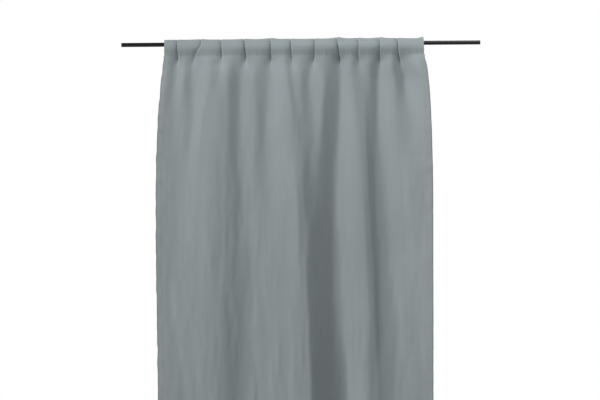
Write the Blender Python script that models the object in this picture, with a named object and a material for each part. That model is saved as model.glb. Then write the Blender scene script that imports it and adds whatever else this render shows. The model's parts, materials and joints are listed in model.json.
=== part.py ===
"""A gathered curtain panel hanging on a plain round rod.

The rod is a steel tube with a plug in each end.  The curtain is one width of dense cloth: its top is
turned over into a pocket that the rod runs through, its sides and its foot are turned in and sewn.
Frame: metres, +Z up, +X along the rod to the viewer's right, -Y towards the room.
The origin is on the rod's axis, half way along it.
"""
import math

import bmesh
import bpy
from mathutils import Vector

# ---- driving dimensions ------------------------------------------------------------------------
ROD_LENGTH = 1.660            # over both end plugs
ROD_DIAMETER = 0.019
ROD_WALL = 0.001
PLUG_FLANGE = 0.003           # the part of a plug that covers the tube's end
PLUG_DEPTH = 0.014            # the part that goes into the tube
PLUG_LEAD_IN = 0.0015         # chamfer where the plug enters the tube

CLOTH = 0.001                 # thickness of one layer of cloth
GAP = 0.0003                  # between pieces that touch

HEADER_LEFT = -0.630          # where the gathered top of the curtain starts on the rod
HEADING = 0.012               # folded edge that stands above the rod
SEAM_BELOW_ROD = 0.054        # the row of stitches that closes the pocket, below the rod's axis
SEAM_ALLOWANCE = 0.003        # flat doubled cloth above and below that row

CURTAIN_LENGTH = 2.450        # from the folded top edge to the foot
FLAT_WIDTH = 1.350            # width of the cloth when it is spread flat
FULLNESS = 1.128              # the cloth's flat width over the width that it is gathered to
SPREAD_LEFT = 0.042           # how far each edge hangs outside the header, further down
SPREAD_RIGHT = 0.035
SPREAD_DROP_LEFT = 0.45       # how soon it reaches that width
SPREAD_DROP_RIGHT = 0.25
FOLD_COUNT = 3                # deep folds across the curtain
FOLD_DROP = 0.22              # height in which the folds grow to their full depth

SIDE_HEM = 0.026
FOOT_HEM = 0.080
STITCH_INSET = 0.003          # from a hem's inner edge to its stitches
HEM_CLEAR = 0.0012            # between the foot hem and each side hem, along the cloth
THREAD_WIDTH = 0.0008
THREAD_THICK = 0.0004

ROUND_SIDES = 32
FOLD_SIDES = 18               # columns in one fold
FOLD_ROWS = 7                 # rows in the height where the folds grow
HANG_ROWS = 5                 # rows in the height where they hang

# ---- values that follow ------------------------------------------------------------------------
HEADER_RIGHT = HEADER_LEFT + FLAT_WIDTH / FULLNESS
ROD_RADIUS = ROD_DIAMETER / 2
BORE_RADIUS = ROD_RADIUS - ROD_WALL
TUBE_HALF = ROD_LENGTH / 2 - PLUG_FLANGE - GAP
SLEEVE_INNER = ROD_RADIUS + GAP
SLEEVE_OUTER = SLEEVE_INNER + CLOTH
TOP_Z = ROD_RADIUS + HEADING
SEAM_Z = -SEAM_BELOW_ROD
POCKET_FOOT_Z = SEAM_Z - SEAM_ALLOWANCE
PANEL_TOP_Z = POCKET_FOOT_Z - GAP
FOOT_Z = TOP_Z - CURTAIN_LENGTH
DROP = PANEL_TOP_Z - FOOT_Z


def clear_scene():
    """Remove what a new file starts with."""
    for old in list(bpy.data.objects):
        bpy.data.objects.remove(old)


def make_material(name, colour, roughness, metallic=0.0):
    """A plain Principled material."""
    material = bpy.data.materials.new(name)
    material.use_nodes = True
    shader = material.node_tree.nodes["Principled BSDF"]
    shader.inputs["Base Color"].default_value = (*colour, 1.0)
    shader.inputs["Roughness"].default_value = roughness
    shader.inputs["Metallic"].default_value = metallic
    return material


def make_object(name, bm, material, parent=None, smooth_angle=None):
    """Turn a bmesh into a named object whose mesh is given in world places."""
    bmesh.ops.recalc_face_normals(bm, faces=bm.faces)
    mesh = bpy.data.meshes.new(name)
    bm.to_mesh(mesh)
    bm.free()
    mesh.materials.append(material)
    if smooth_angle is not None:
        mesh.shade_smooth()
        mesh.set_sharp_from_angle(angle=smooth_angle)
    obj = bpy.data.objects.new(name, mesh)
    bpy.context.collection.objects.link(obj)
    if parent is not None:
        obj.parent = parent
        obj.matrix_parent_inverse = parent.matrix_world.inverted()
    return obj


def make_empty(name, place, parent=None):
    """An empty that carries the pieces of one moving body."""
    empty = bpy.data.objects.new(name, None)
    bpy.context.collection.objects.link(empty)
    empty.location = place
    if parent is not None:
        empty.parent = parent
        empty.location = Vector(place) - Vector(parent.location)
    bpy.context.view_layer.update()
    return empty


# ---- the rod -----------------------------------------------------------------------------------
def turned(profile, closed):
    """Turn a profile of (x, radius) points about the X axis into a mesh."""
    bm = bmesh.new()
    points = [bm.verts.new((x, radius, 0.0)) for x, radius in profile]
    edges = [bm.edges.new(pair) for pair in zip(points, points[1:])]
    if closed:
        edges.append(bm.edges.new((points[-1], points[0])))
    bmesh.ops.spin(
        bm, geom=points + edges, cent=(0, 0, 0), axis=(1, 0, 0), angle=math.tau,
        steps=ROUND_SIDES, use_merge=True,
    )
    bmesh.ops.remove_doubles(bm, verts=bm.verts, dist=1e-6)
    return bm


def build_tube(material):
    """The rod's steel tube."""
    profile = [
        (-TUBE_HALF, ROD_RADIUS), (TUBE_HALF, ROD_RADIUS),
        (TUBE_HALF, BORE_RADIUS), (-TUBE_HALF, BORE_RADIUS),
    ]
    return make_object("rod_tube", turned(profile, closed=True), material, smooth_angle=math.radians(40))


def build_plug(name, side, material):
    """A plug that closes one end of the tube; side is -1 on the left and 1 on the right."""
    face = side * ROD_LENGTH / 2
    shoulder = face - side * PLUG_FLANGE
    nose = shoulder - side * PLUG_DEPTH
    neck = BORE_RADIUS - GAP
    profile = [
        (face, 0.0), (face, ROD_RADIUS), (shoulder, ROD_RADIUS), (shoulder, neck),
        (nose + side * PLUG_LEAD_IN, neck), (nose, neck - PLUG_LEAD_IN), (nose, 0.0),
    ]
    return make_object(name, turned(profile, closed=False), material, smooth_angle=math.radians(40))


# ---- the pocket --------------------------------------------------------------------------------
def sleeve_side(radius, low_half, low_z):
    """Points up one side of the pocket: a straight run that meets a circle about the rod, then the arc."""
    reach = math.hypot(low_half, low_z)
    angle_low = math.atan2(low_z, low_half)
    meets = angle_low + math.acos(radius / reach)
    points = [(low_half, low_z)]
    steps = ROUND_SIDES // 2
    for step in range(steps + 1):
        angle = meets + (math.pi / 2 - meets) * step / steps
        points.append((radius * math.cos(angle), radius * math.sin(angle)))
    return points


def mirrored_loop(side):
    """Close a right-hand side, given bottom to top as (across, up), into a loop."""
    left = [(-across, up) for across, up in reversed(side) if across > 1e-9]
    return side + left


def pocket_outlines():
    """The outer and the inner outline of the pocket, seen along the rod."""
    band_top = SEAM_Z + SEAM_ALLOWANCE
    heading_foot = math.sqrt(SLEEVE_OUTER**2 - CLOTH**2)
    outer = [(CLOTH, POCKET_FOOT_Z)]
    outer += [p for p in sleeve_side(SLEEVE_OUTER, CLOTH, band_top) if p[0] > CLOTH or p[1] < 0]
    outer += [(CLOTH, heading_foot), (CLOTH, TOP_Z)]
    inner = sleeve_side(SLEEVE_INNER, 0.0, band_top)
    return mirrored_loop(outer), mirrored_loop(inner)


def build_pocket(material, parent):
    """The turned-over top of the curtain, with the tunnel that the rod runs through."""
    bm = bmesh.new()
    for outline in pocket_outlines():
        ring = [bm.verts.new((HEADER_LEFT, across, up)) for across, up in outline]
        for one, two in zip(ring, ring[1:] + ring[:1]):
            bm.edges.new((one, two))
    bmesh.ops.triangle_fill(bm, use_beauty=True, use_dissolve=False, edges=bm.edges[:])
    grown = bmesh.ops.extrude_face_region(bm, geom=bm.faces[:])
    moved = [item for item in grown["geom"] if isinstance(item, bmesh.types.BMVert)]
    bmesh.ops.translate(bm, verts=moved, vec=(HEADER_RIGHT - HEADER_LEFT, 0, 0))
    return make_object("rod_pocket", bm, material, parent)


# ---- the hanging cloth -------------------------------------------------------------------------
def edge_x(side, below):
    """Where the curtain's left (-1) or right (1) edge hangs, at a height below the pocket."""
    if side < 0:
        return HEADER_LEFT - SPREAD_LEFT * (1 - math.exp(-below / SPREAD_DROP_LEFT))
    return HEADER_RIGHT + SPREAD_RIGHT * (1 - math.exp(-below / SPREAD_DROP_RIGHT))


def fold_depth(below):
    """Half the depth of the folds: the cloth that doesn't fit in the width goes into them."""
    width = edge_x(1, below) - edge_x(-1, below)
    full = width / (math.pi * FOLD_COUNT) * math.sqrt(FLAT_WIDTH / width - 1)
    grown = min(below / FOLD_DROP, 1.0)
    return full * grown * grown * (3 - 2 * grown)


def cloth_point(across, below, off):
    """A point of the cloth: across from 0 to 1, below the pocket in metres, off behind its middle."""
    left = edge_x(-1, below)
    width = edge_x(1, below) - left
    depth = fold_depth(below)
    turn = math.tau * FOLD_COUNT * across
    slope = depth * math.tau * FOLD_COUNT / width * math.sin(turn)
    normal = Vector((-slope, 1.0, 0.0)).normalized()
    place = Vector((left + width * across, -depth * math.cos(turn), PANEL_TOP_Z - below))
    return place + normal * off


def stations(first, last, marks):
    """The given marks that lie between two ends, with the ends."""
    inside = [mark for mark in marks if first + 1e-6 < mark < last - 1e-6]
    return [first, *inside, last]


def share(width):
    """A width in metres as a share of the cloth's flat width."""
    return width / FLAT_WIDTH


def side_hem_marks():
    """Where the side hems end, where the foot hem starts, and the two sides of a stitch row."""
    inner = share(SIDE_HEM)
    stitch = share(SIDE_HEM - STITCH_INSET)
    half = share(THREAD_WIDTH / 2)
    return {"hem": inner, "foot": inner + share(HEM_CLEAR), "stitch": (stitch - half, stitch + half)}


def fold_marks():
    """Places across the curtain where every cloth piece has a column, so that layers stay parallel."""
    count = FOLD_COUNT * FOLD_SIDES
    even = [index / count for index in range(count + 1)]
    marks = side_hem_marks()
    left = [marks["hem"], marks["foot"], *marks["stitch"]]
    return sorted(even + left + [1 - mark for mark in left])


def drop_marks():
    """Heights below the pocket where every cloth piece has a row."""
    grow = [FOLD_DROP * index / FOLD_ROWS for index in range(FOLD_ROWS + 1)]
    hang = [FOLD_DROP + (DROP - FOLD_DROP) * index / HANG_ROWS for index in range(1, HANG_ROWS + 1)]
    return sorted(grow + hang + [STITCH_INSET, DROP - FOOT_HEM, DROP - STITCH_INSET])


def build_layer(name, across, below, offsets, material, parent):
    """A closed layer of cloth or thread between two offsets behind the curtain's middle surface."""
    near, far = offsets
    columns = stations(*across, fold_marks())
    rows = stations(*below, drop_marks())
    bm = bmesh.new()

    def skin(off):
        return [[bm.verts.new(cloth_point(a, b, off)) for a in columns] for b in rows]

    back, front = skin(far), skin(near)
    for grid, flip in ((back, False), (front, True)):
        for upper, lower in zip(grid, grid[1:]):
            for i in range(len(columns) - 1):
                ring = (upper[i], upper[i + 1], lower[i + 1], lower[i])
                bm.faces.new(ring[::-1] if flip else ring)
    rim_edges = [edge for edge in bm.edges if edge.is_boundary]
    bmesh.ops.bridge_loops(bm, edges=rim_edges)
    bmesh.ops.triangulate(bm, faces=bm.faces[:])
    return make_object(name, bm, material, parent)


def build_hems(cloth, thread, curtain, leading_edge):
    """The turned-in sides and foot, behind the panel, and the stitches, in front of it."""
    behind = (CLOTH / 2 + GAP, CLOTH * 3 / 2 + GAP)
    before = (-CLOTH / 2 - GAP - THREAD_THICK, -CLOTH / 2 - GAP)
    marks = side_hem_marks()
    stitch_ends = (STITCH_INSET, DROP - STITCH_INSET)
    for hand, body in (("left", curtain), ("right", leading_edge)):
        hem, stitch = (0.0, marks["hem"]), marks["stitch"]
        if hand == "right":
            hem, stitch = [(1 - last, 1 - first) for first, last in (hem, stitch)]
        build_layer(f"side_hem_{hand}", hem, (0.0, DROP), behind, cloth, body)
        build_layer(f"side_hem_stitches_{hand}", stitch, stitch_ends, before, thread, body)
    build_layer(
        "foot_hem", (marks["foot"], 1 - marks["foot"]), (DROP - FOOT_HEM, DROP), behind, cloth, curtain,
    )
    row = DROP - FOOT_HEM + STITCH_INSET
    build_layer(
        "foot_hem_stitches", (marks["foot"], 1 - marks["foot"]),
        (row - THREAD_WIDTH / 2, row + THREAD_WIDTH / 2), before, thread, curtain,
    )


def build_pocket_stitches(thread, parent):
    """The row of stitches that closes the pocket, on its flat band under the rod."""
    bm = bmesh.new()
    bmesh.ops.create_cube(bm, size=1.0)
    length = HEADER_RIGHT - HEADER_LEFT - 2 * STITCH_INSET
    bmesh.ops.scale(bm, verts=bm.verts, vec=(length, THREAD_THICK, THREAD_WIDTH))
    middle = ((HEADER_LEFT + HEADER_RIGHT) / 2, -CLOTH - GAP - THREAD_THICK / 2, SEAM_Z)
    bmesh.ops.translate(bm, verts=bm.verts, vec=middle)
    return make_object("pocket_stitches", bm, thread, parent)


# ---- put together ------------------------------------------------------------------------------
def main():
    """Build every piece of the curtain on its rod."""
    clear_scene()
    steel = make_material("rod_black", (0.012, 0.012, 0.013), 0.38, 0.0)
    plastic = make_material("plug_black", (0.014, 0.014, 0.015), 0.55)
    cloth = make_material("curtain_cloth", (0.36, 0.40, 0.41), 0.85)
    thread = make_material("sewing_thread", (0.33, 0.37, 0.38), 0.7)

    build_tube(steel)
    build_plug("rod_plug_left", -1, plastic)
    build_plug("rod_plug_right", 1, plastic)

    curtain = make_empty("curtain_on_rod", (HEADER_LEFT, 0, 0))
    leading_edge = make_empty("leading_edge_on_rod", (HEADER_RIGHT, 0, 0), curtain)
    build_pocket(cloth, curtain)
    build_pocket_stitches(thread, curtain)
    middle = (-CLOTH / 2, CLOTH / 2)
    build_layer("panel_cloth", (0.0, 1.0), (0.0, DROP), middle, cloth, curtain)
    build_hems(cloth, thread, curtain, leading_edge)


main()
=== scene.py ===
# %% [markdown]
# # A gathered curtain on a plain rod
#
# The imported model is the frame: it says where the rod lies, where the cloth starts and ends, and how the
# curtain moves. This lesson dresses that frame. One width of cloth is gathered into tucks over the rod, hung
# in broad folds, hemmed and stitched, and the rod gets its powder coat.

import json
import math

import bmesh
import bpy
import numpy as np
from mathutils import Matrix, Vector


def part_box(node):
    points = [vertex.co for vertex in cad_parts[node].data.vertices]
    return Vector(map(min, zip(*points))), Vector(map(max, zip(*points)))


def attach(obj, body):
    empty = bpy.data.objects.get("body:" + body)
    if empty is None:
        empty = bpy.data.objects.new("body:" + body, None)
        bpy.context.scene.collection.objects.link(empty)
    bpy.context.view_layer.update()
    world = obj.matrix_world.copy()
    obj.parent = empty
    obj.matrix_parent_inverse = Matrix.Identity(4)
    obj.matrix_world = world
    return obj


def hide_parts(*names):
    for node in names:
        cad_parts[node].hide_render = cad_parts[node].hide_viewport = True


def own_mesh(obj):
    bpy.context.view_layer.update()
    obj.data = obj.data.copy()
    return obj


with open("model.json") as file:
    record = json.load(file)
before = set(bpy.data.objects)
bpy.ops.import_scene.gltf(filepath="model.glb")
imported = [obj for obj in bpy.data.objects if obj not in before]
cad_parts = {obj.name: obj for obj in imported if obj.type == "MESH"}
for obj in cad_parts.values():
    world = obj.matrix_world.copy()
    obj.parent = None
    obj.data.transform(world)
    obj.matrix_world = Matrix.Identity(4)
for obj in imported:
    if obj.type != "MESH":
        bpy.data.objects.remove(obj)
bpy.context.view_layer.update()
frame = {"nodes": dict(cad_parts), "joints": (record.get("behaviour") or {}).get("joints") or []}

# %% [markdown]
# ## The few sizes that everything follows
#
# The places of the rod, the pocket, the seam and the foot are read from the frame's nodes. The cloth is a
# ready-made panel. It has the same width of cloth at every height, so where folds are few they are broad.

# %% Sizes
rod_low, rod_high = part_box("rod_tube")
pocket_low, pocket_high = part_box("rod_pocket")
panel_low, panel_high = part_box("panel_cloth")
seam_low, seam_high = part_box("pocket_stitches")

ROD_RADIUS = (rod_high.z - rod_low.z) / 2
HEADER_LEFT, HEADER_RIGHT = pocket_low.x, pocket_high.x
TOP_Z = pocket_high.z
FOOT_DROP = -panel_low.z
SEAM_DROP = -(seam_low.z + seam_high.z) / 2
CLOTH = 0.0010          # thickness of the cloth
FLAT_WIDTH = 1.350      # width of the cloth laid flat
SIDE_HEM = 0.026
FOOT_HEM = 0.080
STITCH_INSET = 0.003    # from a hem's inner edge to its stitches
print(f"rod {2000 * ROD_RADIUS:.1f} mm thick, foot {FOOT_DROP:.3f} m below it")
print(f"gathered top {HEADER_RIGHT - HEADER_LEFT:.3f} m wide")


# %% [markdown]
# ## Places in and out of meshes
#
# Shapes are worked out as arrays of places and written into a mesh in one go, which is much faster than
# vertex by vertex.

# %% Helpers for meshes and objects
def get_places(mesh):
    """The places of a mesh's vertices, one row each."""
    places = np.empty(len(mesh.vertices) * 3, np.float32)
    mesh.vertices.foreach_get("co", places)
    return places.reshape(-1, 3)


def set_places(mesh, places):
    """Move a mesh's vertices to these places."""
    mesh.vertices.foreach_set("co", places.astype(np.float32).ravel())


def add_object(name, data):
    """A named object in the scene."""
    obj = bpy.data.objects.new(name, data)
    bpy.context.collection.objects.link(obj)
    return obj


# %% [markdown]
# ## Smooth curves through a few chosen points
#
# A fold's place and depth change slowly down the curtain. Each is given at a few heights, and a cubic curve
# through them that never overshoots says what it is in between. The same curve joins crests and valleys
# across the curtain.

# %% A smooth curve through points
def through(places, values, at):
    """Values at `at` of a smooth curve through (place, value) points, level beyond the first and the last."""
    places, values = np.asarray(places, float), np.asarray(values, float)
    steps = np.diff(values) / np.diff(places)
    slopes = np.zeros(len(places))
    inner = steps[:-1] * steps[1:] > 0
    slopes[1:-1][inner] = 2 * steps[:-1][inner] * steps[1:][inner] / (steps[:-1] + steps[1:])[inner]
    at = np.clip(at, places[0], places[-1])
    index = np.clip(np.searchsorted(places, at) - 1, 0, len(places) - 2)
    gap = places[index + 1] - places[index]
    t = (at - places[index]) / gap
    return (
        values[index] * (1 + 2 * t) * (1 - t) ** 2 + values[index + 1] * t * t * (3 - 2 * t)
        + slopes[index] * gap * t * (1 - t) ** 2 - slopes[index + 1] * gap * t * t * (1 - t)
    )


def smooth_step(value):
    """0 below 0, 1 above 1, and a smooth rise between."""
    value = np.clip(value, 0, 1)
    return value * value * (3 - 2 * value)


# %% [markdown]
# ## The broad folds, as cross-sections
#
# Below the seam the tucks widen. Some die out and others run together, until three deep folds are left. The
# cloth is described as a boat's hull is: by cross-sections at a few heights. A section lists the same crests
# and valleys from left to right, each with its place across the curtain and its depth behind the hanging
# line, both in millimetres. A crest and a valley that have died out lie on their fold's flank.
#
# The numbers of the upper sections were first measured by a program from how a real curtain is shaded, and
# then filled in and changed. Lower down most of them were set one by one.

# %% Cross-sections of the hanging cloth
SECTIONS = [
    (0.080, [
        (-660, 2), (-612, -1), (-575, 6), (-530, 0), (-500, 2), (-421, -13), (-370, -7), (-336, -11),
        (-262, 3), (-203, -3), (-139, 8), (-78, -5), (-36, 2), (-10, -1), (56, 9), (97, 3),
        (181, 19), (229, 5), (274, 13), (309, 8), (366, 19), (418, 2), (460, 15), (560, -13),
    ]),
    (0.170, [
        (-660, 1), (-625, -1), (-584, 4), (-540, -5), (-502, 0), (-415, -18), (-376, -15), (-343, -17),
        (-274, -1), (-218, -6), (-145, 4), (-66, -10), (-35, -5), (-6, -3), (41, 8), (100, 3),
        (180, 25), (239, 9), (285, 14), (315, 17), (357, 28), (430, 9), (481, 23), (590, -13),
    ]),
    (0.345, [
        (-680, -1), (-645, 0), (-606, 2), (-545, -2), (-507, -3), (-450, -17), (-390, -20), (-345, -16),
        (-276, -1), (-220, -6), (-160, 3), (-46, -15), (-22, -12), (0, -8), (62, 3), (86, 3),
        (174, 29), (257, 12), (290, 15), (322, 24), (360, 33), (445, 13), (497, 12), (630, -9),
    ]),
    (0.620, [
        (-690, 1), (-650, 0), (-612, 0), (-570, -1), (-540, -4), (-470, -17), (-411, -22), (-360, -19),
        (-272, -3), (-217, -6), (-166, -3), (-62, -16), (-28, -20), (-2, -18), (45, -4), (84, 8),
        (156, 31), (279, 14), (305, 17), (335, 30), (385, 36), (465, 20), (500, 10), (630, -4),
    ]),
    (0.950, [
        (-700, 1), (-660, 0), (-620, -1), (-580, -3), (-550, -6), (-480, -16), (-423, -21), (-370, -18),
        (-256, -1), (-205, -4), (-150, -9), (-80, -15), (-16, -21), (6, -18), (40, -8), (86, 17),
        (142, 34), (290, 16), (320, 21), (355, 32), (406, 38), (475, 28), (530, 14), (640, -9),
    ]),
    (1.310, [
        (-700, 1), (-660, 0), (-620, -2), (-580, -4), (-540, -8), (-480, -14), (-421, -18), (-370, -15),
        (-250, 3), (-200, -2), (-150, -6), (-80, -13), (-9, -19), (20, -17), (48, -8), (92, 19),
        (152, 32), (306, 7), (330, 10), (360, 17), (427, 24), (485, 17), (535, 8), (640, -10),
    ]),
    (1.620, [
        (-700, 1), (-660, 0), (-620, -1), (-580, -2), (-540, -4), (-480, -7), (-412, -11), (-370, -7),
        (-258, 9), (-200, 3), (-150, -2), (-80, -9), (4, -17), (30, -16), (58, -9), (112, 24),
        (192, 38), (313, 8), (338, 10), (370, 15), (429, 20), (485, 15), (535, 8), (640, -8),
    ]),
    (2.450, [
        (-700, 2), (-660, 1), (-620, 0), (-580, -3), (-540, -7), (-480, -13), (-400, -19), (-350, -13),
        (-240, 12), (-190, 9), (-140, 2), (-80, -7), (14, -19), (40, -16), (66, -8), (116, 20),
        (200, 37), (300, 6), (328, 8), (370, 17), (432, 27), (485, 20), (535, 10), (640, -10),
    ]),
]
section_drops = [drop for drop, _ in SECTIONS]
section_points = np.array([points for _, points in SECTIONS], float) / 1000
print(len(SECTIONS), "sections with", section_points.shape[1], "crests and valleys each")

# %% [markdown]
# ## The tucks on the rod
#
# On the rod itself the spare cloth stands in eleven narrow tucks. In each, the cloth slopes back towards the
# rod from the left and then turns sharply out again, so the right-hand flank is nearly a step. The top edge
# rises to a small peak where a tuck folds over.

# %% Places, depths and peaks of the tucks
TUCKS = [  # place on the rod, place at the seam, place below it, depth, peak of the top edge, in millimetres
    (-573, -570, -577, 11, 1.0),
    (-463, -490, -502, 9, 3.0),
    (-369, -366, -372, 11, 0.5),
    (-261, -256, -258, 13, 3.0),
    (-141, -140, -141, 12, 6.0),
    (-48, -45, -38, 11, 2.0),
    (62, 60, 54, 12, 2.0),
    (169, 175, 181, 15, 8.0),
    (264, 264, 274, 10, 4.0),
    (363, 362, 366, 13, 6.0),
    (446, 450, 461, 13, 2.0),
]
# The rest are (drop, value) pairs, in metres
TUCK_FADE = [  # share of a tuck's depth
    (-0.03, 1.0), (0.0, 1.2), (0.030, 1.25), (0.050, 1.1), (0.075, 0.70), (0.130, 0.0),
]
LEFT_REACH = [(0.0, 0.011), (0.03, 0.014), (0.06, 0.018), (0.09, 0.025), (0.13, 0.030)]
RIGHT_REACH = [(0.0, 0.0016), (0.05, 0.0020), (0.08, 0.008), (0.13, 0.018)]
LEFT_POWER = [(0.04, 1.0), (0.12, 1.8)]             # 1 is a cusp, 2 is round
LEAN = [(0.0, 0.20), (0.05, 0.20), (0.11, 0.0)]     # a tuck folds over to the left as it goes back
HANG = [  # depth of the hanging line
    (-.012, -.0170), (0, -.0225), (.010, -.0255), (.018, -.0262), (.026, -.0255), (.046, -.0200),
    (.054, -.0182), (.062, -.0175), (.078, -.0178), (.12, -.0178), (.3, -.0145), (.6, -.0120), (2.5, -.0115),
]
EDGE_LEFT = [  # place of the left edge
    (0, HEADER_LEFT), (.066, -.631), (.165, -.644), (.25, -.652), (.345, -.6595), (.48, -.6665),
    (.66, -.672), (1.0, -.6735), (1.4, -.670), (2.4, -.668),
]
EDGE_RIGHT = [  # place of the right edge
    (0, HEADER_RIGHT), (.066, .5695), (.11, .5780), (.17, .5855), (.25, .5920), (.35, .5975),
    (.48, .6015), (.66, .6045), (1.0, .6030), (2.4, .598),
]
print(len(TUCKS), "tucks")


# %% [markdown]
# ## From the numbers to the cloth's surface
#
# The hanging line, the sections and the tucks are added up. Where the cloth passes the rod it stays in front
# of it. The folds are then deepened until the cloth is as long across as it was cut: a search by halves finds
# by how much at each height, up to a limit that keeps the cloth in the space that the frame gives it.

# %% The front surface
ROD_GAP = 0.0004        # from the rod to the cloth
CLEAR = ROD_RADIUS + CLOTH / 2 + ROD_GAP
FREE_DROP = 0.13        # below this the sections alone shape the cloth
FINE_POINTS = 4000      # across the cloth, when its length is measured
HALVINGS = 20           # of the search for the right depth


def along(pairs, at):
    """A smooth curve through a list of (place, value) pairs."""
    return through([place for place, _ in pairs], [value for _, value in pairs], at)


def fold_depth(x, drop):
    """How far the folds and tucks lie behind the hanging line, at places x and one drop below the axis."""
    places = np.array([through(section_drops, line, drop) for line in section_points[:, :, 0].T])
    depths = np.array([through(section_drops, line, drop) for line in section_points[:, :, 1].T])
    depth = through(places, depths, x) * smooth_step(drop / FREE_DROP)
    left, right = along(LEFT_REACH, drop), along(RIGHT_REACH, drop)
    for on_rod, at_seam, below, deep, _ in TUCKS:
        off = x - along([(0, on_rod), (SEAM_DROP, at_seam), (FREE_DROP, below)], drop) / 1000
        left_flank = np.exp(-np.abs(off / left) ** along(LEFT_POWER, drop))
        share = np.where(off < 0, left_flank, np.exp(-((off / right) ** 2)))
        depth = depth + deep / 1000 * along(TUCK_FADE, drop) * share
    return depth


def cross_section(drop, deepen):
    """Fine points across the cloth at one drop, and the length of cloth from the left edge to each."""
    x = np.linspace(float(along(EDGE_LEFT, drop)), float(along(EDGE_RIGHT, drop)), FINE_POINTS)
    y = along(HANG, drop) + deepen * fold_depth(x, drop)
    if abs(drop) < CLEAR:
        y = np.minimum(y, -math.sqrt(CLEAR * CLEAR - drop * drop))
    x = x + along(LEAN, drop) * (y - along(HANG, drop))
    return x, y, np.concatenate([[0.0], np.cumsum(np.hypot(np.diff(x), np.diff(y)))])


def deepen_to_fit(drop, low=0.6, high=1.48):
    """How much deeper the folds have to be for the cloth to have its flat width at this drop."""
    for _ in range(HALVINGS):
        middle = (low + high) / 2
        low, high = (middle, high) if cross_section(drop, middle)[2][-1] < FLAT_WIDTH else (low, middle)
    return middle


fit_drops = [-0.01, 0.02, 0.05, 0.08, 0.12, 0.17, 0.25, 0.35, 0.48, 0.62, 0.95, 1.31, 1.62, 2.45]
fit_deepen = [deepen_to_fit(drop) for drop in fit_drops]
for drop, deepen in zip(fit_drops, fit_deepen):
    x, y, length = cross_section(drop, deepen)
    print(f"drop {drop:5.2f} m: folds x {deepen:.2f}, cloth {length[-1]:.3f} m wide,"
          f" {y.min():.3f} to {y.max():.3f} deep")


# %% [markdown]
# ## Rows of the cloth
#
# A row has its vertices evenly spaced along the cloth, as threads are, so a vertex keeps its place in the
# weave from the seam to the foot. Rows are close together at the top, where the tucks open, and wider apart
# below.

# %% Rows
COLUMNS = 401
PANEL_ROWS = 112
POCKET_ROWS = 15        # of one layer of the pocket
ARCH_ROWS = 9           # where the cloth turns over
ARCH_Z = 0.005          # height where the turn begins
ARCH_POWER = 1.25       # 1 makes the turn round, more makes it a little pointed
BEHIND = 0.0016         # from the front layer to the back layer at the seam
FOLD_ROOM = 0.0014      # from the panel's foot to the lowest point of its turned-up edge
BELOW_SEAM = 0.003      # how far the pocket's turned-in edge reaches below the seam
BACK_SHARE = 0.9        # depth of the back layer's folds, as a share of the front layer's
BACK_RISE = 1.6         # how soon above the seam the back layer leaves the front layer
EVEN_PART, CROWDED_PART = 0.20, 0.80    # of the spacing of the panel's rows, crowded near the seam

# %% [markdown]
# The turned-over edge stands a little above the rod. A tuck lifts it to a peak just right of its place on the
# rod, and beside the peak the fold leaves a nick.

# %% The top edge
TOP_LIFT = 0.0005
PEAK_OFFSET = 0.005
PEAK_LEFT, PEAK_RIGHT, PEAK_POWER = 0.035, 0.026, 1.3
NICK, NICK_OFFSET, NICK_WIDTH = 0.002, 0.006, 0.004
CORNER_PEAK, CORNER_WIDTH = 0.006, 0.018    # at the right end of the top edge


def cloth_row(drop):
    """Points of the front surface at one drop, evenly spaced along the cloth."""
    x, y, length = cross_section(drop, float(through(fit_drops, fit_deepen, drop)))
    even = np.linspace(0.0, length[-1], COLUMNS)
    return np.stack([np.interp(even, length, x), np.interp(even, length, y), np.full(COLUMNS, -drop)], 1)


def top_edge(x):
    """Height of the turned-over edge above the rod's axis: small peaks where the tucks fold over."""
    z = np.full_like(x, TOP_Z + TOP_LIFT)
    for on_rod, _, _, _, peak in TUCKS:
        off = x - on_rod / 1000 - PEAK_OFFSET
        z = z + peak / 1000 * np.exp(-np.abs(off / np.where(off < 0, PEAK_LEFT, PEAK_RIGHT)) ** PEAK_POWER)
        z = z - NICK * np.exp(-((off + NICK_OFFSET) / NICK_WIDTH) ** 2)
    return z + CORNER_PEAK * np.exp(-((x - HEADER_RIGHT) / CORNER_WIDTH) ** 2)


def pocket_places():
    """Rows of the pocket: up the front, over the top and down the back to just below the seam."""
    front = [cloth_row(drop) for drop in np.linspace(SEAM_DROP, -ARCH_Z, POCKET_ROWS)]
    back = []
    for row in front:
        spread = smooth_step(BACK_RISE * (row[0, 2] + SEAM_DROP) / (ARCH_Z + SEAM_DROP))
        behind = (row[:, 1] + BEHIND) * (1 - spread) + np.maximum(-BACK_SHARE * row[:, 1], CLEAR) * spread
        back.append(np.stack([row[:, 0], behind, row[:, 2]], 1))
    low = back[0].copy()
    low[:, 2] -= BELOW_SEAM
    low[:, 1] = cloth_row(SEAM_DROP + BELOW_SEAM)[:, 1] + BEHIND
    half = (back[-1][:, 1] - front[-1][:, 1]) / 2
    middle = (back[-1][:, 1] + front[-1][:, 1]) / 2
    rise = top_edge(front[-1][:, 0]) - CLOTH / 2 - ARCH_Z
    arch = []
    for turn in np.linspace(0, math.pi, ARCH_ROWS + 2)[1:-1]:
        height = ARCH_Z + rise * math.sin(turn) ** ARCH_POWER
        arch.append(np.stack([front[-1][:, 0], middle - half * math.cos(turn), height], 1))
    return np.array(front + arch + back[::-1] + [low])


share = np.linspace(0, 1, PANEL_ROWS)
spacing = EVEN_PART * share + CROWDED_PART * share ** 2
panel_drops = SEAM_DROP + (FOOT_DROP - FOLD_ROOM - SEAM_DROP) * spacing
panel_places = np.array([cloth_row(drop) for drop in panel_drops])
pocket_rows = pocket_places()
print("panel rows", len(panel_places), "pocket rows", len(pocket_rows))


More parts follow.
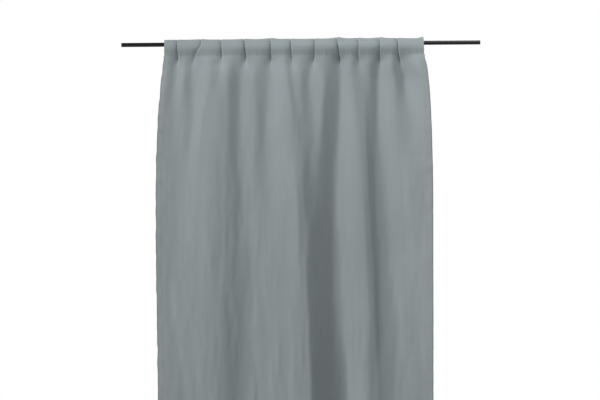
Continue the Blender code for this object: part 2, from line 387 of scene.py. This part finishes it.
# %% [markdown]
# ## Letting the cloth hang
#
# A short cloth simulation lets the drawn cloth settle. The sheet is held at the seam, its weight pulls on the
# tucks below, and the folds give way a little where they carry load. Its shape at rest is the drawn one and a
# point may move by a few millimetres at most, so the folds themselves are those that were drawn. Only every
# second column is simulated, and the movement of the columns between is the mean of their neighbours'.

# %% Cloth simulation
SIM_STRIDE = 2          # of columns
SIM_FRAMES = 14
SIM_REACH = 0.0035      # how far a point may move
HELD_ROWS = 2           # at the seam, which don't move
SOFTENINGS = 2          # how often the movement is averaged across the cloth


def grid_mesh(name, rows, columns):
    """A named grid of faces, with the row and the column of each of its vertices."""
    bm = bmesh.new()
    bmesh.ops.create_grid(bm, x_segments=columns - 1, y_segments=rows - 1, size=0.5)
    row = np.rint([(0.5 - vertex.co.y) * (rows - 1) for vertex in bm.verts]).astype(int)
    column = np.rint([(vertex.co.x + 0.5) * (columns - 1) for vertex in bm.verts]).astype(int)
    mesh = bpy.data.meshes.new(name)
    bm.to_mesh(mesh)
    bm.free()
    return mesh, row, column


def softened(values):
    """Each column averaged with its neighbours."""
    padded = np.concatenate([values[:, :1], values, values[:, -1:]], axis=1)
    return (padded[:, :-2] + 2 * values + padded[:, 2:]) / 4


def simulate(obj):
    """Run the cloth simulation of an object held by its vertex group, and return where its vertices end."""
    settings = obj.modifiers.new("cloth", "CLOTH").settings
    settings.quality = 8
    settings.mass = 0.02
    settings.tension_stiffness = settings.compression_stiffness = 40
    settings.shear_stiffness = 10
    settings.bending_stiffness = 40
    settings.tension_damping = settings.compression_damping = settings.shear_damping = 20
    settings.bending_damping = 1
    settings.air_damping = 5
    settings.vertex_group_mass = "held"
    cache = obj.modifiers["cloth"].point_cache
    cache.frame_start, cache.frame_end = 1, SIM_FRAMES
    for number in range(1, SIM_FRAMES + 1):
        bpy.context.scene.frame_set(number)
    return get_places(obj.evaluated_get(bpy.context.evaluated_depsgraph_get()).to_mesh())


def hang(places):
    """How far each place of a sheet moves when it hangs for a moment, at most SIM_REACH."""
    coarse = places[:, ::SIM_STRIDE]
    mesh, row, column = grid_mesh("hanging", *coarse.shape[:2])
    set_places(mesh, coarse[row, column])
    obj = add_object("hanging", mesh)
    obj.vertex_groups.new(name="held").add(np.flatnonzero(row < HELD_ROWS).tolist(), 1.0, "REPLACE")
    moved = np.zeros_like(coarse)
    moved[row, column] = simulate(obj) - coarse[row, column]
    bpy.data.objects.remove(obj)
    bpy.data.meshes.remove(mesh)
    bpy.context.scene.frame_set(1)
    for _ in range(SOFTENINGS):
        moved = softened(moved)
    size = np.linalg.norm(moved, axis=-1, keepdims=True)
    print("free movement, middle and most:", (1000 * np.percentile(size, (50, 100))).round(1), "mm")
    moved *= SIM_REACH * np.tanh(size / SIM_REACH) / np.maximum(size, 1e-9)
    at = np.arange(places.shape[1]) / SIM_STRIDE
    low = np.minimum(at.astype(int), coarse.shape[1] - 2)
    part = (at - low)[None, :, None]
    return moved[:, low] * (1 - part) + moved[:, low + 1] * part


panel_places = panel_places + hang(panel_places)

# %% [markdown]
# ## Puckers
#
# A row of stitches always draws the cloth up a little. It stands in small ripples, about a millimetre high
# beside the seam and two or three beside the side hems, that no two hems have alike. Sums of a few waves of
# odd lengths give them, and the same call always gives the same ripples.

# %% Small ripples beside the stitching
WAVE_LENGTHS = (0.71, 1.0, 1.37, 2.3)
SEAM_PUCKER, SEAM_REACH, SEAM_PITCH = 0.0006, 0.016, 0.013
HEM_PUCKER, HEM_PITCH = 0.0022, 0.060
EDGE_WAVER, EDGE_REACH, EDGE_PITCH = 0.0011, 0.015, 0.085


def ripples(at, pitch, seed):
    """An irregular wave of about one unit along `at`, with crests about one pitch apart."""
    rng = np.random.default_rng(seed)
    waves = [np.sin(2 * math.pi * at / (pitch * length) + rng.uniform(0, 7)) for length in WAVE_LENGTHS]
    return sum(waves) / 2


def pucker(places, drops):
    """Ripples near the seam and along both side hems, in the cloth's depth and in the line of its edges."""
    flat_x = np.linspace(0, FLAT_WIDTH, COLUMNS)
    near_seam = np.exp(-((drops - SEAM_DROP) / SEAM_REACH) ** 2)[:, None]
    places[:, :, 1] += SEAM_PUCKER * near_seam * ripples(flat_x, SEAM_PITCH, 1)[None, :]
    calmer_on_top = 0.4 + 0.6 * smooth_step((drops - 0.2) / 0.6)
    for side, seed in ((flat_x, 2), (FLAT_WIDTH - flat_x, 3)):
        by_hem = np.exp(-((side / SIDE_HEM) ** 2))[None, :]
        along_hem = ripples(drops, HEM_PITCH, seed) * calmer_on_top
        places[:, :, 1] += HEM_PUCKER * by_hem * along_hem[:, None]
    edge = EDGE_WAVER * ripples(drops, EDGE_PITCH, 4)
    places[:, :, 0] += np.exp(-(flat_x / EDGE_REACH) ** 2)[None, :] * edge[:, None]
    return places


panel_places = pucker(panel_places, panel_drops)
pocket_rows[:POCKET_ROWS] = pucker(pocket_rows[:POCKET_ROWS], -pocket_rows[:POCKET_ROWS, 0, 2])
print("panel reaches from", panel_places.min((0, 1)).round(3), "to", panel_places.max((0, 1)).round(3))


# %% [markdown]
# ## Sheets of cloth as meshes
#
# A sheet starts as a grid of faces, and each vertex is then moved to its place. Its UV map holds the flat
# cloth in metres, so that a weave drawn on it keeps its size and follows every fold.

# %% A sheet from rows of places
BORDER = 0.0004         # a narrow row of faces along every edge keeps the shading of the thickness there


def with_border_rows(values, share):
    """Values with a row added next to the first and to the last, a share of the way to its neighbour."""
    first = values[0] + (values[1] - values[0]) * share[0]
    last = values[-1] + (values[-2] - values[-1]) * share[1]
    return np.array([values[0], first, *values[1:-1], last, values[-1]])


def border_share(places):
    """What share of the first and of the last row of faces the narrow row takes."""
    steps = (places[1] - places[0], places[-2] - places[-1])
    return [BORDER / float(np.median(np.linalg.norm(step, axis=-1))) for step in steps]


def sheet_mesh(name, places, flat_x, flat_y, material):
    """A named sheet with places[row][column], and its flat size on the UV map."""
    down_share, across_share = border_share(places), border_share(places.swapaxes(0, 1))
    places = with_border_rows(places, down_share)
    places = with_border_rows(places.swapaxes(0, 1), across_share).swapaxes(0, 1)
    flat_x = with_border_rows(np.asarray(flat_x, float), across_share)
    flat_y = with_border_rows(np.asarray(flat_y, float), down_share)
    mesh, row, column = grid_mesh(name, *places.shape[:2])
    set_places(mesh, places[row, column])
    corners = np.empty(len(mesh.loops), np.int32)
    mesh.loops.foreach_get("vertex_index", corners)
    flat = np.stack([flat_x[column], flat_y[row]], 1)[corners]
    mesh.uv_layers.new(name="flat").data.foreach_set("uv", flat.astype(np.float32).ravel())
    mesh.materials.append(material)
    mesh.shade_smooth()
    mesh.update()
    return add_object(name, mesh)


def thicken(obj, thickness):
    """Give a sheet its thickness, half on each side."""
    solid = obj.modifiers.new("thickness", "SOLIDIFY")
    solid.thickness = thickness
    solid.offset = 0
    return obj


# %% [markdown]
# ## Shader maths as plain expressions
#
# A material is a small calculation done at every point of a surface. Wrapping a socket in a class with the
# usual operators lets the calculation be written as one, and each operator adds its own Math node.

# %% A small language for materials
class Value:
    """One output socket of a material's node tree, with arithmetic."""

    def __init__(self, tree, socket):
        self.tree, self.socket = tree, socket

    def node(self, kind, settings=(), inputs=(), output=0):
        """Add a node: set its properties, then its sockets by name or number, and return one output."""
        made = self.tree.nodes.new(kind)
        for name, value in dict(settings).items():
            setattr(made, name, value)
        for name, value in dict(inputs).items():
            if isinstance(value, Value):
                self.tree.links.new(value.socket, made.inputs[name])
            else:
                made.inputs[name].default_value = value
        return Value(self.tree, made.outputs[output])

    def output(self, number):
        """Another output of the same node."""
        return Value(self.tree, self.socket.node.outputs[number])

    def maths(self, operation, other=0.0):
        return self.node("ShaderNodeMath", dict(operation=operation), {0: self, 1: other})

    def __add__(self, other):
        return self.maths("ADD", other)

    def __sub__(self, other):
        return self.maths("SUBTRACT", other)

    def __mul__(self, other):
        return self.maths("MULTIPLY", other)

    __radd__ = __add__

    def sine(self):
        return self.maths("SINE")

    def between(self, low, high):
        """0 below low, 1 above high."""
        settings = dict(interpolation_type="SMOOTHSTEP")
        return self.node("ShaderNodeMapRange", settings, {"Value": self, "From Min": low, "From Max": high})

    def noise(self, scale, detail):
        """Noise at this place."""
        return self.node("ShaderNodeTexNoise", (), {"Vector": self, "Scale": scale, "Detail": detail})

    def bump(self, strength, distance):
        """A normal that makes the surface seem to rise where this value is high."""
        inputs = {"Height": self, "Strength": strength, "Distance": distance}
        return self.node("ShaderNodeBump", (), inputs)

    def mix(self, first, second):
        """A colour from first, where this value is 0, to second, where it is 1."""
        made = self.tree.nodes.new("ShaderNodeMix")
        made.data_type = "RGBA"
        self.tree.links.new(self.socket, made.inputs[0])
        for socket, colour in ((made.inputs[6], first), (made.inputs[7], second)):
            if isinstance(colour, Value):
                self.tree.links.new(colour.socket, socket)
            else:
                socket.default_value = (*colour, 1.0)
        return Value(self.tree, made.outputs[2])


def new_material(name, **constants):
    """A material with its shader's constant sockets set. Returns it, its shader and a Value to start from."""
    material = bpy.data.materials.new(name)
    material.use_nodes = True
    shader = material.node_tree.nodes["Principled BSDF"]
    for socket, value in constants.items():
        shader.inputs[socket.replace("_", " ")].default_value = value
    return material, shader, Value(material.node_tree, None)


def connect(shader, **sockets):
    """Link values to the shader's sockets."""
    for socket, value in sockets.items():
        value.tree.links.new(value.socket, shader.inputs[socket.replace("_", " ")])


# %% [markdown]
# ## The cloth's finish
#
# The cloth is a dense, dull blackout weave in a cool grey. Its yarns are about half a millimetre apart. Close
# to, the weave shows as fine over-and-under bumps. From further off only the uneven yarns show, as faint
# streaks down and across the cloth, and a soft cloudiness. A little sheen lifts the surface where it is seen
# at a slant, as the fibres' ends do.

# %% Cloth
YARN = 0.00055          # from one yarn to the next
CLOTH_DARK = (0.292, 0.330, 0.341)
CLOTH_LIGHT = (0.342, 0.386, 0.399)


def cloth_material():
    material, shader, start = new_material(
        "dense_grey_cloth", Roughness=0.86, Sheen_Weight=0.12, Sheen_Roughness=0.5, Specular_IOR_Level=0.25,
    )
    flat = start.node("ShaderNodeUVMap", dict(uv_map="flat"))
    across = start.node("ShaderNodeSeparateXYZ", (), {0: flat})
    down = across.output(1)
    warp = (across * (2 * math.pi / YARN)).sine()
    weft = (down * (2 * math.pi / YARN)).sine()
    weave = warp * weft * 0.5 + 0.5

    def uneven(stretch, scale, detail):
        place = start.node("ShaderNodeMapping", dict(vector_type="POINT"), {"Vector": flat, "Scale": stretch})
        return place.noise(scale, detail)

    streaks_down = uneven((1.0, 0.012, 1.0), 420.0, 2.0)
    streaks_across = uneven((0.02, 1.0, 1.0), 260.0, 2.0)
    clouds = uneven((1.0, 0.6, 1.0), 5.0, 3.0)
    fibres = uneven((1.0, 1.0, 1.0), 1400.0, 2.0)
    tone = streaks_down * 0.42 + streaks_across * 0.22 + clouds * 0.26 + fibres * 0.10
    tone = tone + weave * 0.10 - 0.05
    colour = tone.between(0.20, 0.80).mix(CLOTH_DARK, CLOTH_LIGHT)
    height = weave * 0.7 + fibres * 0.3 + streaks_down * 0.4
    connect(shader, Base_Color=colour, Roughness=0.80 + fibres * 0.12, Normal=height.bump(0.22, 0.0003))
    return material


cloth = cloth_material()
print("cloth nodes:", len(cloth.node_tree.nodes))


# %% [markdown]
# ## The thread's finish
#
# Polyester thread in the cloth's colour. It is smoother than the cloth, so it catches a little more light,
# and its plies show as slanting stripes.

# %% Thread
PLY = 0.0006            # from one slanting stripe to the next
THREAD_DARK = (0.300, 0.339, 0.351)
THREAD_LIGHT = (0.400, 0.447, 0.461)


def thread_material():
    material, shader, start = new_material("polyester_thread", Sheen_Weight=0.1, Specular_IOR_Level=0.45)
    place = start.node("ShaderNodeTexCoord", (), (), "Object")
    x = start.node("ShaderNodeSeparateXYZ", (), {0: place})
    plies = ((x + x.output(2)) * (2 * math.pi / PLY)).sine() * 0.5 + 0.5
    fuzz = place.noise(900.0, 3.0)
    colour = (plies * 0.6 + fuzz * 0.4).mix(THREAD_DARK, THREAD_LIGHT)
    connect(shader, Base_Color=colour, Roughness=0.50 + fuzz * 0.2, Normal=plies.bump(0.3, 0.0001))
    return material


thread = thread_material()
print("thread nodes:", len(thread.node_tree.nodes))


# %% [markdown]
# ## The rod's finish
#
# The tube is steel with a satin black powder coat. Baked powder is never quite flat: it has an orange-peel
# ripple a millimetre or two across and a finer grain. The plugs are moulded in matt black plastic with a fine
# spark-eroded texture, slightly greyer at their rims, where hands and brackets rub them.

# %% Powder coat and plug plastic
COAT_DARK, COAT_LIGHT = (0.0040, 0.0040, 0.0044), (0.0105, 0.0105, 0.0112)
PLUG_DARK, PLUG_WORN = (0.012, 0.012, 0.013), (0.045, 0.045, 0.047)
RIM_FROM, RIM_TO = 0.80 * ROD_RADIUS, 0.92 * ROD_RADIUS     # where the plug's rim begins to be rubbed


def powder_coat():
    material, shader, start = new_material("black_powder_coat", Metallic=0.0, Specular_IOR_Level=0.5)
    place = start.node("ShaderNodeTexCoord", (), (), "Object")
    peel, grain, handled = place.noise(620.0, 1.0), place.noise(4200.0, 2.0), place.noise(14.0, 4.0)
    colour = (grain * 0.5 + handled * 0.5).mix(COAT_DARK, COAT_LIGHT)
    bump = (peel + grain * 0.4).bump(0.16, 0.0004)
    connect(shader, Base_Color=colour, Roughness=0.29 + handled * 0.12, Normal=bump)
    return material


def plug_plastic():
    material, shader, start = new_material("black_plug_plastic", Specular_IOR_Level=0.4)
    place = start.node("ShaderNodeTexCoord", (), (), "Object")
    texture, rubbed = place.noise(2600.0, 2.0), place.noise(160.0, 4.0)
    x = start.node("ShaderNodeSeparateXYZ", (), {0: place})
    y, z = x.output(1), x.output(2)
    rim = (y * y + z * z).between(RIM_FROM ** 2, RIM_TO ** 2)
    colour = (rim * rubbed.between(0.35, 0.75)).mix(PLUG_DARK, PLUG_WORN)
    connect(shader, Base_Color=colour, Roughness=0.56 + texture * 0.16, Normal=texture.bump(0.3, 0.0002))
    return material


def finish_nodes(names, material):
    """Give CAD nodes that stay a new material."""
    for name in names:
        frame["nodes"][name].data.materials.clear()
        frame["nodes"][name].data.materials.append(material)
    print(material.name, "on", names)


SAME_PLACE = 0.00001            # corners closer than this are joined
SHARP = math.radians(35)        # edges sharper than this stay sharp


def shade_round(names):
    """Shade round CAD nodes smooth and keep their square edges sharp. Their own vertices stay as they are."""
    for name in names:
        node = frame["nodes"][name]
        stored = node.data.attributes.get("custom_normal")
        if stored:
            node.data.attributes.remove(stored)
        node.data.shade_smooth()
        node.modifiers.new("joined faces", "WELD").merge_threshold = SAME_PLACE
        node.modifiers.new("square edges", "EDGE_SPLIT").split_angle = SHARP


shade_round(["rod_tube", "rod_plug_left", "rod_plug_right"])
finish_nodes(["rod_tube"], powder_coat())
finish_nodes(["rod_plug_left", "rod_plug_right"], plug_plastic())

# %% [markdown]
# ## The panel and the pocket
#
# The cloth is one length on the real curtain, turned over the rod and sewn down. Here the hanging panel and
# the pocket are two sheets that meet at the seam, as the frame has them.

# %% The panel and the pocket
flat_columns = np.linspace(0, FLAT_WIDTH, COLUMNS)
pocket_steps = np.linalg.norm(np.diff(pocket_rows.mean(1), axis=0), axis=1)
pocket_flat = np.concatenate([[0.0], np.cumsum(pocket_steps)]) - SEAM_DROP
panel = thicken(sheet_mesh("curtain_panel", panel_places, flat_columns, -panel_drops, cloth), CLOTH)
pocket = thicken(sheet_mesh("rod_pocket_cloth", pocket_rows, flat_columns, pocket_flat, cloth), CLOTH)
print("panel faces", len(panel.data.polygons), "pocket faces", len(pocket.data.polygons))


# %% [markdown]
# ## Hems
#
# A side hem is the cloth's edge, rolled round and laid flat behind the panel. Its rows start on the panel's
# edge, go half way round a small circle and then follow the panel inwards at a constant distance behind it.
# The foot hem does the same at the bottom, between the two side hems.

# %% Hems
ROLL = 0.0011           # radius of the rolled edge
ROLL_TURNS = 5
EDGE_ROOM = 0.0013      # from the panel's edge to the start of the roll, which keeps them clear when drawn
HEM_CLOTH = 0.0007      # pressed thinner than the panel
COLUMN = FLAT_WIDTH / (COLUMNS - 1)     # from one column of the panel to the next
roll_flat = [ROLL * math.pi * i / (ROLL_TURNS - 1) for i in range(ROLL_TURNS)]


def unit(vectors):
    return vectors / np.linalg.norm(vectors, axis=-1, keepdims=True)


def facing_back(places):
    """For each place of a sheet, a direction square to the cloth and away from the room."""
    normal = unit(np.cross(np.gradient(places, axis=1), -np.gradient(places, axis=0)))
    return normal * np.where(normal[..., 1:2] < 0, -1, 1)


def panel_at(drops):
    """Rows of the panel's surface at other drops than its own, on the straight lines between its rows."""
    index = np.clip(np.searchsorted(panel_drops, drops) - 1, 0, PANEL_ROWS - 2)
    part = ((drops - panel_drops[index]) / (panel_drops[index + 1] - panel_drops[index]))[:, None, None]
    return panel_places[index] * (1 - part) + panel_places[index + 1] * part


def rolled(edge, outward, back):
    """Rows half way round a rolled edge, from the panel's own edge to behind it."""
    turns = np.linspace(0, math.pi, ROLL_TURNS)
    return [edge + outward * ROLL * math.sin(turn) + back * ROLL * (1 - math.cos(turn)) for turn in turns]


def side_hem(name, from_left):
    """A side hem that follows the panel's left or right edge."""
    places = panel_places if from_left else panel_places[:, ::-1]
    back = facing_back(panel_places)
    back = back if from_left else back[:, ::-1]
    outward = unit(places[:, 0] - places[:, 1])
    count = round(SIDE_HEM / FLAT_WIDTH * (COLUMNS - 1)) + 1
    lines = rolled(places[:, 0] + outward * EDGE_ROOM, outward, back[:, 0])
    lines += [places[:, i] + back[:, i] * 2 * ROLL for i in range(1, count)]
    flat = roll_flat + [COLUMN * i for i in range(1, count)]
    hem = thicken(sheet_mesh(name, np.array(lines).swapaxes(0, 1), flat, -panel_drops, cloth), HEM_CLOTH)
    print(name, "faces", len(hem.data.polygons))
    return hem


left_hem = side_hem("left_side_hem", True)
right_hem = side_hem("right_side_hem", False)

# %% The foot hem
FOOT_HEM_ROWS = 7
FOOT_ROOM = 0.0002      # from the panel's foot to the start of the roll
HEM_GAP = 0.002         # from a side hem to the foot hem
hem_columns = round((SIDE_HEM + HEM_GAP) / FLAT_WIDTH * (COLUMNS - 1))
foot_drops = np.linspace(panel_drops[-1], panel_drops[-1] - FOOT_HEM, FOOT_HEM_ROWS)
foot_places = panel_at(foot_drops)[:, hem_columns:-hem_columns]
foot_back = facing_back(foot_places)
down = np.array([0.0, 0.0, -1.0])
foot_rows = rolled(foot_places[0] + down * FOOT_ROOM, down, foot_back[0])
foot_rows += [foot_places[i] + foot_back[i] * 2 * ROLL for i in range(1, FOOT_HEM_ROWS)]
foot_flat = [-flat for flat in roll_flat] + list(foot_drops[0] - foot_drops[1:])
foot_columns = flat_columns[hem_columns:-hem_columns]
foot_hem = sheet_mesh("foot_hem_cloth", np.array(foot_rows), foot_columns, foot_flat, cloth)
thicken(foot_hem, HEM_CLOTH)
print("foot hem faces", len(foot_hem.data.polygons))


# %% [markdown]
# ## Stitches
#
# A lockstitch shows on the face of the cloth as a row of short, plump threads with small gaps, where the
# needle went down. Each is a stretched ball with only two dozen faces, because there are about 2400 of them.
# They lie on the cloth along the seam and along each hem.

# %% Rows of stitches
STITCH = 0.0030         # from one needle hole to the next
STITCH_SHARE = 0.78     # of that length is thread on the face
THREAD = 0.00055        # thickness of the thread
THREAD_RISE = 0.0001    # from the face of the cloth to the middle of the thread
FIRST_STITCH = 0.001    # from the start of the line


def copies_of_one(bm, count):
    """Copy the one shape in a bmesh until there are `count`, in order, by doubling."""
    one = len(bm.verts)
    while len(bm.verts) < one * count:
        bmesh.ops.duplicate(bm, geom=bm.verts[:] + bm.edges[:] + bm.faces[:])
    bm.verts.ensure_lookup_table()
    bmesh.ops.delete(bm, geom=bm.verts[one * count:], context="VERTS")
    return one


def stitch_axes(line, front):
    """Each stitch's middle and its three directions, for a line on the cloth and the way out of the cloth."""
    length = np.concatenate([[0.0], np.cumsum(np.linalg.norm(np.diff(line, axis=0), axis=1))])
    starts = np.arange(FIRST_STITCH, length[-1] - STITCH, STITCH)

    def at(where, values):
        return np.stack([np.interp(where, length, values[:, i]) for i in range(3)], 1)

    ahead = unit(at(starts + STITCH, line) - at(starts, line))
    out = at(starts, front)
    side = unit(np.cross(ahead, out))
    out = np.cross(side, ahead)
    return at(starts + STITCH / 2, line) + out * (CLOTH / 2 + THREAD_RISE), side, out, ahead


def stitch_row(name, line, front):
    """Stitches along a line on the cloth. `front` holds the direction out of the cloth at each point."""
    middle, side, out, ahead = stitch_axes(line, front)
    bm = bmesh.new()
    bmesh.ops.create_uvsphere(bm, u_segments=6, v_segments=4, radius=0.5)
    one = copies_of_one(bm, len(middle))
    mesh = bpy.data.meshes.new(name)
    bm.to_mesh(mesh)
    bm.free()
    ball = get_places(mesh).reshape(len(middle), one, 3) * (THREAD, THREAD, STITCH * STITCH_SHARE)
    placed = ball[..., :1] * side[:, None] + ball[..., 1:2] * -out[:, None] + ball[..., 2:] * ahead[:, None]
    set_places(mesh, placed + middle[:, None])
    mesh.materials.append(thread)
    mesh.shade_smooth()
    mesh.update()
    print(name, len(middle), "stitches")
    return add_object(name, mesh)


panel_front = -facing_back(panel_places)
pocket_front = -facing_back(pocket_rows[:POCKET_ROWS])
stitch_column = round((SIDE_HEM - STITCH_INSET) / FLAT_WIDTH * (COLUMNS - 1))
foot_hem_top = panel_drops[-1] - FOOT_HEM
foot_line = panel_at(np.array([foot_hem_top + STITCH_INSET] * 2))
foot_front = -facing_back(panel_at(np.array([foot_hem_top, foot_hem_top + 0.01])))
between_hems = slice(hem_columns, -hem_columns)
seam_thread = stitch_row("pocket_seam_thread", pocket_rows[1], pocket_front[1])
left, right = stitch_column, -1 - stitch_column
left_thread = stitch_row("left_hem_thread", panel_places[:, left], panel_front[:, left])
right_thread = stitch_row("right_hem_thread", panel_places[:, right], panel_front[:, right])
foot_thread = stitch_row("foot_hem_thread", foot_line[0][between_hems], foot_front[0][between_hems])

# %% [markdown]
# ## What each piece stands for, and how it moves
#
# Each sheet and each row of stitches stands for one node of the frame, whose own mesh is hidden. All of the
# cloth rides on the curtain body but for the leading edge, which has a body of its own and moves by the
# joint.
# When the curtain is drawn the cloth crumples towards its other edge, to three tenths of its width. From that
# and the joint's range, the leading edge's own place is worked out.

# %% Riding, and each piece's own mesh
KEEP = 0.3                      # share of the width that is left when the curtain is drawn
FIXED_EDGE = (-0.672, 0, 0)     # the far edge of the panel, which the cloth crumples towards
draw = next(joint for joint in frame["joints"] if joint["name"] == "curtain_draw")
LEADING_EDGE = (FIXED_EDGE[0] - draw["range_m"][0] / (1 - KEEP), 0, 0)
PIECES = [
    (panel, "panel_cloth", "curtain", "curtain_cloth"),
    (pocket, "rod_pocket", "curtain", "curtain_cloth"),
    (left_hem, "side_hem_left", "curtain", "curtain_cloth"),
    (right_hem, "side_hem_right", "leading_edge", "curtain_cloth"),
    (foot_hem, "foot_hem", "curtain", "curtain_cloth"),
    (seam_thread, "pocket_stitches", "curtain", "sewing_thread"),
    (left_thread, "side_hem_stitches_left", "curtain", "sewing_thread"),
    (right_thread, "side_hem_stitches_right", "leading_edge", "sewing_thread"),
    (foot_thread, "foot_hem_stitches", "curtain", "sewing_thread"),
]
for piece, node, body, slot in PIECES:
    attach(piece, body)
    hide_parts(node)
    anchor = LEADING_EDGE if body == "leading_edge" else FIXED_EDGE
    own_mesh(piece)

print("leading edge's own place:", round(LEADING_EDGE[0], 4))


# %% [markdown]
# ## The stage
#
# A round, matt white floor lies just below the curtain's foot. It belongs to the stage and not to the model.

# %% Floor
FLOOR_RADIUS = 3.8
FLOOR_BELOW = 0.03      # below the curtain's foot
FLOOR_WHITE = (0.78, 0.78, 0.78, 1)

bm = bmesh.new()
at_floor = Matrix.Translation((0, 0, -FOOT_DROP - FLOOR_BELOW))
bmesh.ops.create_circle(bm, cap_ends=True, segments=96, radius=FLOOR_RADIUS, matrix=at_floor)
mesh = bpy.data.meshes.new("floor")
bm.to_mesh(mesh)
bm.free()
floor = add_object("floor", mesh)
floor_paint, _, _ = new_material("floor_white", Base_Color=FLOOR_WHITE, Roughness=0.9)
mesh.materials.append(floor_paint)
print("floor", FLOOR_BELOW, "m below the foot")


# %% [markdown]
# The key light stands far out on the left and a little in front, so that it grazes the folds and shades each
# one from its crest to its valley. A long, narrow light above picks out the gathers, a weak one in front
# keeps the shadows open, and a broad one stands behind.

# %% Lights
LIGHTS = [  # name, place, what it is aimed at, its two sides in metres, watts
    ("key", (-9.3, -5.2, 3.2), (0, 0, -0.8), (2.4, 3.0), 880),
    ("top", (0.9, -1.1, 1.5), (0.2, 0, -0.1), (2.4, 0.5), 26),
    ("back", (2.5, 6.0, 1.0), (0, 0, -1.0), (3.0, 3.0), 160),
    ("fill", (0.9, -3.2, 0.9), (0.1, 0, -0.3), (2.4, 1.2), 17),
]


def area_light(name, place, aim, size, energy):
    """A rectangular light that faces the point it is aimed at."""
    data = bpy.data.lights.new(name, "AREA")
    data.shape = "RECTANGLE"
    data.size, data.size_y = size
    data.energy = energy
    lamp = add_object(name, data)
    lamp.location = place
    lamp.rotation_euler = (Vector(aim) - Vector(place)).to_track_quat("-Z", "Y").to_euler()


for light in LIGHTS:
    area_light(*light)
print(len(LIGHTS), "lights")

# %% [markdown]
# The background is pure white to the camera and only a dim, even light to everything else.

# %% Background
WHITE = (1, 1, 1, 1)
AMBIENT = 0.075

world = bpy.data.worlds.new("studio")
bpy.context.scene.world = world
world.use_nodes = True
nodes, links = world.node_tree.nodes, world.node_tree.links
ambient, seen = nodes["Background"], nodes.new("ShaderNodeBackground")
for background, strength in ((ambient, AMBIENT), (seen, 1.0)):
    background.inputs["Color"].default_value = WHITE
    background.inputs["Strength"].default_value = strength
path, mix = nodes.new("ShaderNodeLightPath"), nodes.new("ShaderNodeMixShader")
links.new(path.outputs["Is Camera Ray"], mix.inputs[0])
links.new(ambient.outputs[0], mix.inputs[1])
links.new(seen.outputs[0], mix.inputs[2])
links.new(mix.outputs[0], nodes["World Output"].inputs["Surface"])
bpy.context.scene.view_settings.view_transform = "Standard"
print("ambient light:", AMBIENT)

# %% [markdown]
# The camera looks straight at the rod and the upper part of the curtain, rolled by less than half a degree.

# %% Camera
VIEW_WIDTH = 2.778      # how much of the rod's plane is seen
DISTANCE = 4.6
CAMERA_X, CAMERA_Z = -0.009, -0.7235
ROLLED = math.radians(-0.42)

lens = bpy.data.cameras.new("camera")
lens.sensor_width = 36
lens.lens = lens.sensor_width * DISTANCE / VIEW_WIDTH
camera = add_object("camera", lens)
camera.matrix_world = (
    Matrix.Translation((CAMERA_X, -DISTANCE, CAMERA_Z)) @ Matrix.Rotation(math.pi / 2, 4, "X")
    @ Matrix.Rotation(ROLLED, 4, "Z")
)
bpy.context.scene.camera = camera
print(f"lens {lens.lens:.1f} mm")
